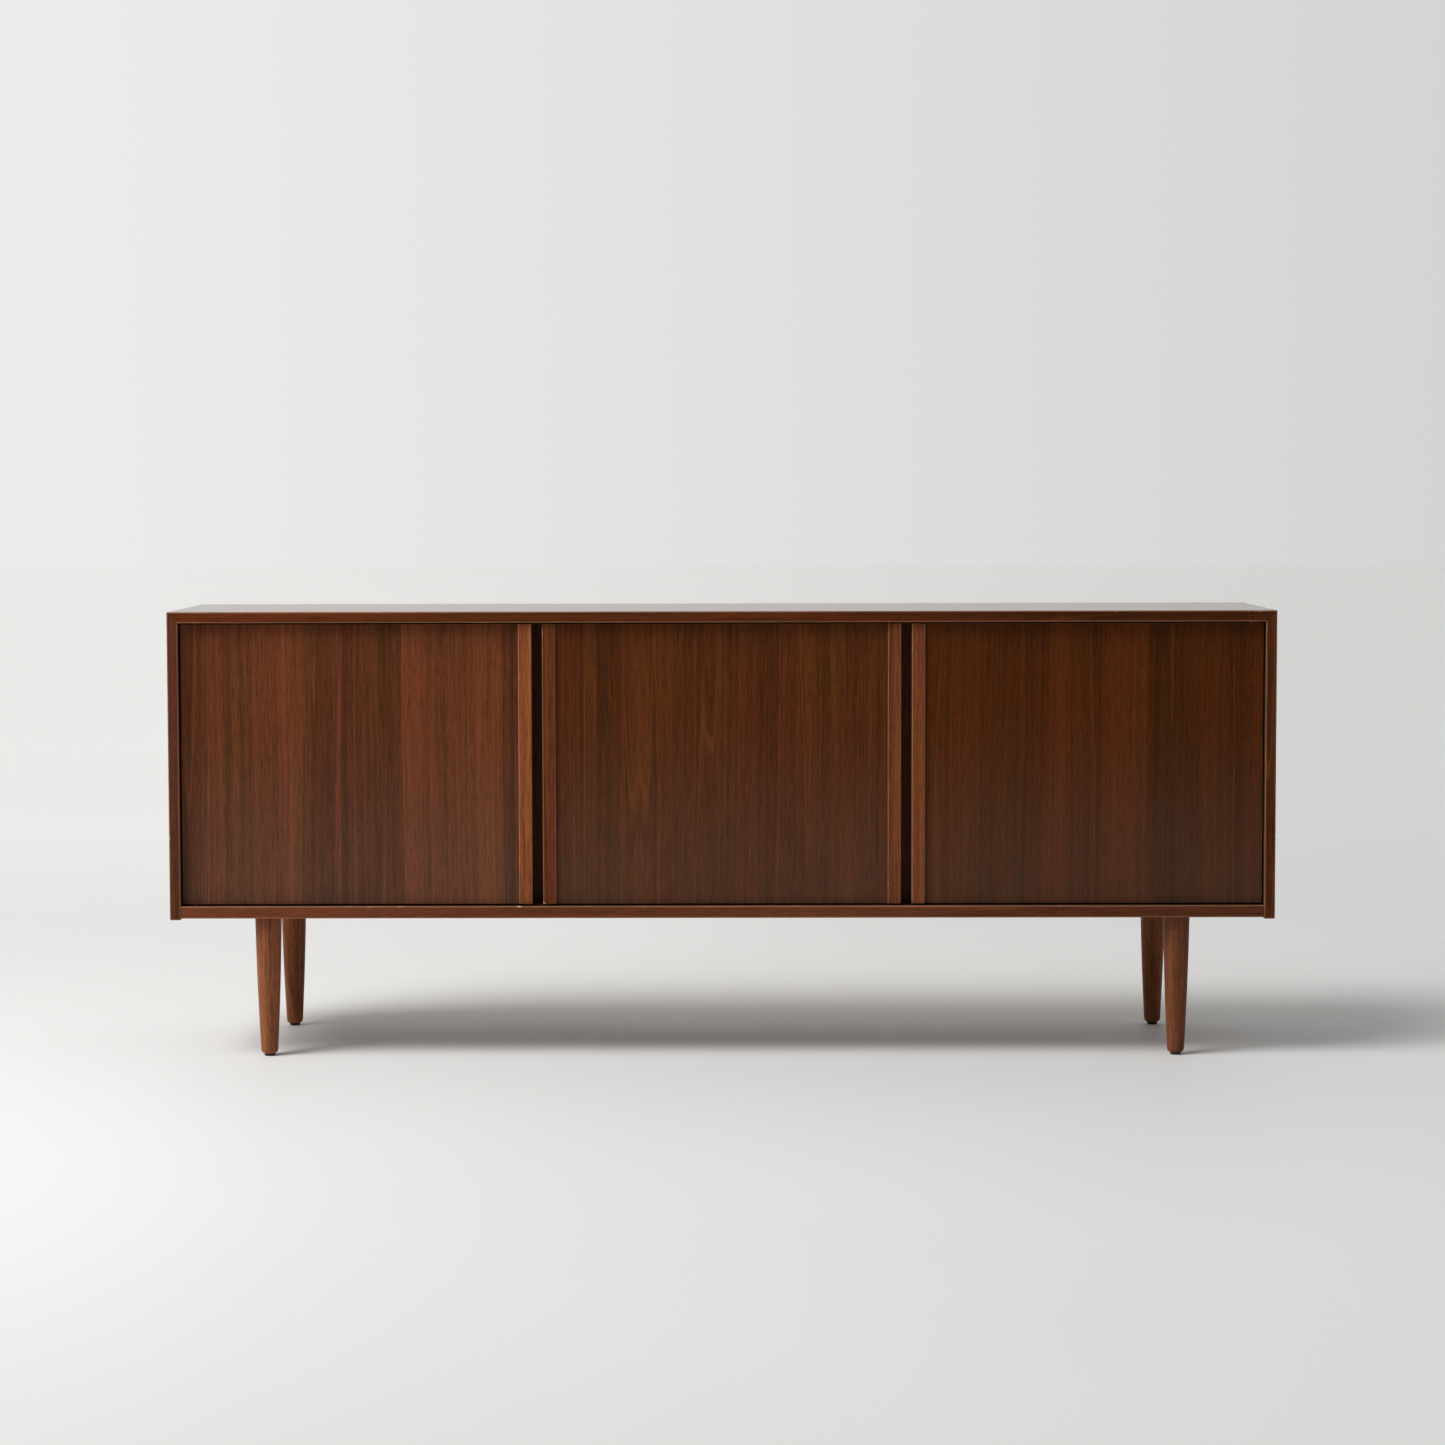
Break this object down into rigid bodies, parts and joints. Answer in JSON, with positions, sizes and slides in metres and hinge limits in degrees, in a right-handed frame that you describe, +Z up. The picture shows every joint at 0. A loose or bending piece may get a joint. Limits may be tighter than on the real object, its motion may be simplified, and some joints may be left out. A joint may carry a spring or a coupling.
{
  "type": "sideboard buffet",
  "caption": "Long, low wooden sideboard with inset hinged doors, full-height lip pulls, shelves inside and turned, tapered legs.",
  "frame": {"origin": "on the floor, under the middle of the case", "axes": "+X to the right along the front, +Y to the back (the doors face -Y), +Z up"},
  "size_m": [2, 0.44, 0.81],
  "materials": {
    "case_veneer": "dark reddish-brown straight-grained veneer, satin lacquer",
    "door_veneer": "dark reddish-brown vertical-grain veneer laid in leaves, satin lacquer",
    "solid_wood": "solid hardwood, warmer and lighter than the veneer, satin lacquer",
    "inner_veneer": "plain inner veneer, matt",
    "plywood": "thin plywood, unlacquered",
    "brass": "aged satin brass",
    "steel": "zinc-plated, dull",
    "catch_plastic": "brown moulded plastic",
    "glide_plastic": "near-black nylon"
  },
  "bodies": {
    "case": {"top_panel": "case_veneer", "left_side_panel": "case_veneer", "right_side_panel": "case_veneer", "bottom_panel": "case_veneer", "back_panel": "plywood", "left_partition": "inner_veneer", "right_partition": "inner_veneer", "left_shelf": "inner_veneer", "centre_shelf": "inner_veneer", "right_shelf": "inner_veneer", "left_shelf_pin_1": "brass", "left_shelf_pin_2": "brass", "left_shelf_pin_3": "brass", "left_shelf_pin_4": "brass", "right_shelf_pin_1": "brass", "right_shelf_pin_2": "brass", "right_shelf_pin_3": "brass", "right_shelf_pin_4": "brass", "leg_front_left": "solid_wood", "glide_front_left": "glide_plastic", "leg_socket_front_left": "steel", "leg_bolt_front_left": "steel", "leg_front_right": "solid_wood", "glide_front_right": "glide_plastic", "leg_socket_front_right": "steel", "leg_bolt_front_right": "steel", "leg_back_left": "solid_wood", "glide_back_left": "glide_plastic", "leg_socket_back_left": "steel", "leg_bolt_back_left": "steel", "leg_back_right": "solid_wood", "glide_back_right": "glide_plastic", "leg_socket_back_right": "steel", "leg_bolt_back_right": "steel", "left_top_case_leaf": "brass", "left_bottom_case_leaf": "brass", "left_catch": "catch_plastic", "centre_top_case_leaf": "brass", "centre_bottom_case_leaf": "brass", "centre_catch": "catch_plastic", "right_top_case_leaf": "brass", "right_bottom_case_leaf": "brass", "right_catch": "catch_plastic"},
    "left_door": {"left_door_panel": "door_veneer", "left_door_pull": "solid_wood", "left_top_door_leaf": "brass", "left_bottom_door_leaf": "brass", "left_strike_plate": "steel"},
    "centre_door": {"centre_door_panel": "door_veneer", "centre_door_left_pull": "solid_wood", "centre_door_right_pull": "solid_wood", "centre_top_door_leaf": "brass", "centre_bottom_door_leaf": "brass", "centre_strike_plate": "steel"},
    "right_door": {"right_door_panel": "door_veneer", "right_door_pull": "solid_wood", "right_top_door_leaf": "brass", "right_bottom_door_leaf": "brass", "right_strike_plate": "steel"}
  },
  "joints": [
    {"name": "left_door_hinge", "type": "hinge", "parent": "case", "child": "left_door", "pos_m": [-0.9558, -0.196, 0.5335], "axis": [0, 0, -1], "range_deg": [0, 110]},
    {"name": "centre_door_hinge", "type": "hinge", "parent": "case", "child": "centre_door", "pos_m": [0.302, -0.196, 0.5335], "axis": [0, 0, 1], "range_deg": [0, 100]},
    {"name": "right_door_hinge", "type": "hinge", "parent": "case", "child": "right_door", "pos_m": [0.9558, -0.196, 0.5335], "axis": [0, 0, 1], "range_deg": [0, 110]}
  ]
}
